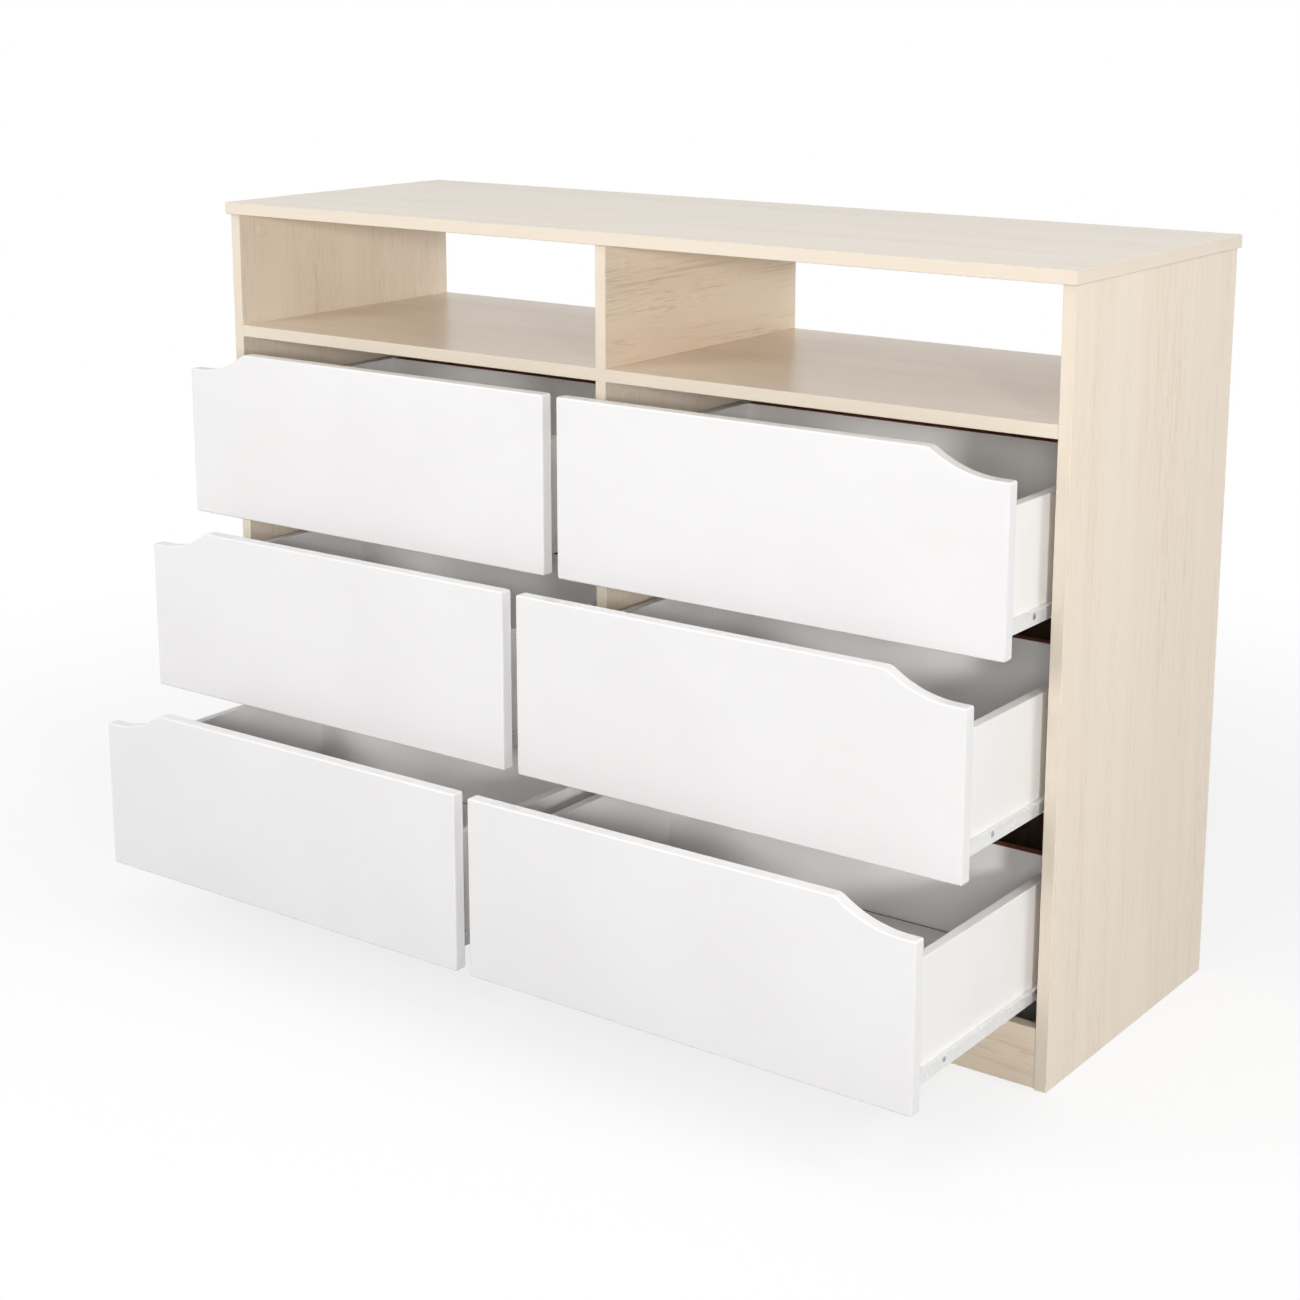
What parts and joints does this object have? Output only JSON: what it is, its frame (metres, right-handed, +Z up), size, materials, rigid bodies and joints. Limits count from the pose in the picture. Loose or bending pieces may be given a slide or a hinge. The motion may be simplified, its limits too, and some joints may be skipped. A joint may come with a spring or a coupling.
{
  "type": "dresser",
  "caption": "A low, wide dresser: open cubbies over columns of inset drawers, whose plain fronts have ogee finger scoops and run on roller slides in a wood-grain carcass.",
  "frame": {"origin": "on the floor, at the middle of the carcass footprint, under the centre partition", "axes": "+X to the right as seen from the front, +Y to the back, +Z up; drawers open towards -Y"},
  "size_m": [1.2, 0.663, 0.885],
  "materials": {
    "wood_grain_melamine": "satin",
    "white_lacquer": "satin",
    "white_drawer_board": "matte",
    "brown_hardboard": "matte",
    "white_coated_steel": "gloss",
    "white_nylon": "satin",
    "zinc": "satin",
    "beech": "raw"
  },
  "bodies": {
    "carcass": {"top_panel": "wood_grain_melamine", "left_side_panel": "wood_grain_melamine", "right_side_panel": "wood_grain_melamine", "shelf": "wood_grain_melamine", "cubby_divider": "wood_grain_melamine", "centre_partition": "wood_grain_melamine", "kick_board": "wood_grain_melamine", "rear_rail": "wood_grain_melamine", "back_panels": "brown_hardboard", "cam_locks": "zinc", "dowels": "beech", "cabinet_rails": "white_coated_steel"},
    "bottom_left_drawer": {"bottom_left_front": "white_lacquer", "bottom_left_outer_side": "white_drawer_board", "bottom_left_inner_side": "white_drawer_board", "bottom_left_back": "white_drawer_board", "bottom_left_bottom": "white_drawer_board", "bottom_left_runners": "white_coated_steel"},
    "bottom_left_runner_roller_pair": {"bottom_left_runner_rollers": "white_nylon"},
    "bottom_left_rail_roller_pair": {"bottom_left_rail_rollers": "white_nylon"},
    "middle_left_drawer": {"middle_left_front": "white_lacquer", "middle_left_outer_side": "white_drawer_board", "middle_left_inner_side": "white_drawer_board", "middle_left_back": "white_drawer_board", "middle_left_bottom": "white_drawer_board", "middle_left_runners": "white_coated_steel"},
    "middle_left_runner_roller_pair": {"middle_left_runner_rollers": "white_nylon"},
    "middle_left_rail_roller_pair": {"middle_left_rail_rollers": "white_nylon"},
    "top_left_drawer": {"top_left_front": "white_lacquer", "top_left_outer_side": "white_drawer_board", "top_left_inner_side": "white_drawer_board", "top_left_back": "white_drawer_board", "top_left_bottom": "white_drawer_board", "top_left_runners": "white_coated_steel"},
    "top_left_runner_roller_pair": {"top_left_runner_rollers": "white_nylon"},
    "top_left_rail_roller_pair": {"top_left_rail_rollers": "white_nylon"},
    "bottom_right_drawer": {"bottom_right_front": "white_lacquer", "bottom_right_outer_side": "white_drawer_board", "bottom_right_inner_side": "white_drawer_board", "bottom_right_back": "white_drawer_board", "bottom_right_bottom": "white_drawer_board", "bottom_right_runners": "white_coated_steel"},
    "bottom_right_runner_roller_pair": {"bottom_right_runner_rollers": "white_nylon"},
    "bottom_right_rail_roller_pair": {"bottom_right_rail_rollers": "white_nylon"},
    "middle_right_drawer": {"middle_right_front": "white_lacquer", "middle_right_outer_side": "white_drawer_board", "middle_right_inner_side": "white_drawer_board", "middle_right_back": "white_drawer_board", "middle_right_bottom": "white_drawer_board", "middle_right_runners": "white_coated_steel"},
    "middle_right_runner_roller_pair": {"middle_right_runner_rollers": "white_nylon"},
    "middle_right_rail_roller_pair": {"middle_right_rail_rollers": "white_nylon"},
    "top_right_drawer": {"top_right_front": "white_lacquer", "top_right_outer_side": "white_drawer_board", "top_right_inner_side": "white_drawer_board", "top_right_back": "white_drawer_board", "top_right_bottom": "white_drawer_board", "top_right_runners": "white_coated_steel"},
    "top_right_runner_roller_pair": {"top_right_runner_rollers": "white_nylon"},
    "top_right_rail_roller_pair": {"top_right_rail_rollers": "white_nylon"}
  },
  "joints": [
    {"name": "bottom_left_slide", "type": "slide", "parent": "carcass", "child": "bottom_left_drawer", "axis": [0, -1, 0], "range_m": [-0.258, 0.007]},
    {"name": "bottom_left_runner_roll", "type": "hinge", "parent": "bottom_left_drawer", "child": "bottom_left_runner_roller_pair", "pos_m": [-0.29475, -0.102, 0.1027], "axis": [1, 0, 0], "range_deg": [-2122, 68]},
    {"name": "bottom_left_rail_roll", "type": "hinge", "parent": "carcass", "child": "bottom_left_rail_roller_pair", "pos_m": [-0.29475, -0.173, 0.1027], "axis": [1, 0, 0], "range_deg": [-2122, 68]},
    {"name": "middle_left_slide", "type": "slide", "parent": "carcass", "child": "middle_left_drawer", "axis": [0, -1, 0], "range_m": [-0.17, 0.095]},
    {"name": "middle_left_runner_roll", "type": "hinge", "parent": "middle_left_drawer", "child": "middle_left_runner_roller_pair", "pos_m": [-0.29475, -0.014, 0.3157], "axis": [1, 0, 0], "range_deg": [-1402, 788]},
    {"name": "middle_left_rail_roll", "type": "hinge", "parent": "carcass", "child": "middle_left_rail_roller_pair", "pos_m": [-0.29475, -0.173, 0.3157], "axis": [1, 0, 0], "range_deg": [-1402, 788]},
    {"name": "top_left_slide", "type": "slide", "parent": "carcass", "child": "top_left_drawer", "axis": [0, -1, 0], "range_m": [-0.095, 0.17]},
    {"name": "top_left_runner_roll", "type": "hinge", "parent": "top_left_drawer", "child": "top_left_runner_roller_pair", "pos_m": [-0.29475, 0.061, 0.5287], "axis": [1, 0, 0], "range_deg": [-788, 1402]},
    {"name": "top_left_rail_roll", "type": "hinge", "parent": "carcass", "child": "top_left_rail_roller_pair", "pos_m": [-0.29475, -0.173, 0.5287], "axis": [1, 0, 0], "range_deg": [-788, 1402]},
    {"name": "bottom_right_slide", "type": "slide", "parent": "carcass", "child": "bottom_right_drawer", "axis": [0, -1, 0], "range_m": [-0.258, 0.007]},
    {"name": "bottom_right_runner_roll", "type": "hinge", "parent": "bottom_right_drawer", "child": "bottom_right_runner_roller_pair", "pos_m": [0.29475, -0.102, 0.1027], "axis": [1, 0, 0], "range_deg": [-2122, 68]},
    {"name": "bottom_right_rail_roll", "type": "hinge", "parent": "carcass", "child": "bottom_right_rail_roller_pair", "pos_m": [0.29475, -0.173, 0.1027], "axis": [1, 0, 0], "range_deg": [-2122, 68]},
    {"name": "middle_right_slide", "type": "slide", "parent": "carcass", "child": "middle_right_drawer", "axis": [0, -1, 0], "range_m": [-0.17, 0.095]},
    {"name": "middle_right_runner_roll", "type": "hinge", "parent": "middle_right_drawer", "child": "middle_right_runner_roller_pair", "pos_m": [0.29475, -0.014, 0.3157], "axis": [1, 0, 0], "range_deg": [-1402, 788]},
    {"name": "middle_right_rail_roll", "type": "hinge", "parent": "carcass", "child": "middle_right_rail_roller_pair", "pos_m": [0.29475, -0.173, 0.3157], "axis": [1, 0, 0], "range_deg": [-1402, 788]},
    {"name": "top_right_slide", "type": "slide", "parent": "carcass", "child": "top_right_drawer", "axis": [0, -1, 0], "range_m": [-0.095, 0.17]},
    {"name": "top_right_runner_roll", "type": "hinge", "parent": "top_right_drawer", "child": "top_right_runner_roller_pair", "pos_m": [0.29475, 0.061, 0.5287], "axis": [1, 0, 0], "range_deg": [-788, 1402]},
    {"name": "top_right_rail_roll", "type": "hinge", "parent": "carcass", "child": "top_right_rail_roller_pair", "pos_m": [0.29475, -0.173, 0.5287], "axis": [1, 0, 0], "range_deg": [-788, 1402]}
  ],
  "couplings": [
    {"joint": "bottom_left_runner_roll", "follows": "bottom_left_slide", "rad_per_m": 142.86},
    {"joint": "bottom_left_rail_roll", "follows": "bottom_left_slide", "rad_per_m": 142.86},
    {"joint": "middle_left_runner_roll", "follows": "middle_left_slide", "rad_per_m": 142.86},
    {"joint": "middle_left_rail_roll", "follows": "middle_left_slide", "rad_per_m": 142.86},
    {"joint": "top_left_runner_roll", "follows": "top_left_slide", "rad_per_m": 142.86},
    {"joint": "top_left_rail_roll", "follows": "top_left_slide", "rad_per_m": 142.86},
    {"joint": "bottom_right_runner_roll", "follows": "bottom_right_slide", "rad_per_m": 142.86},
    {"joint": "bottom_right_rail_roll", "follows": "bottom_right_slide", "rad_per_m": 142.86},
    {"joint": "middle_right_runner_roll", "follows": "middle_right_slide", "rad_per_m": 142.86},
    {"joint": "middle_right_rail_roll", "follows": "middle_right_slide", "rad_per_m": 142.86},
    {"joint": "top_right_runner_roll", "follows": "top_right_slide", "rad_per_m": 142.86},
    {"joint": "top_right_rail_roll", "follows": "top_right_slide", "rad_per_m": 142.86}
  ]
}
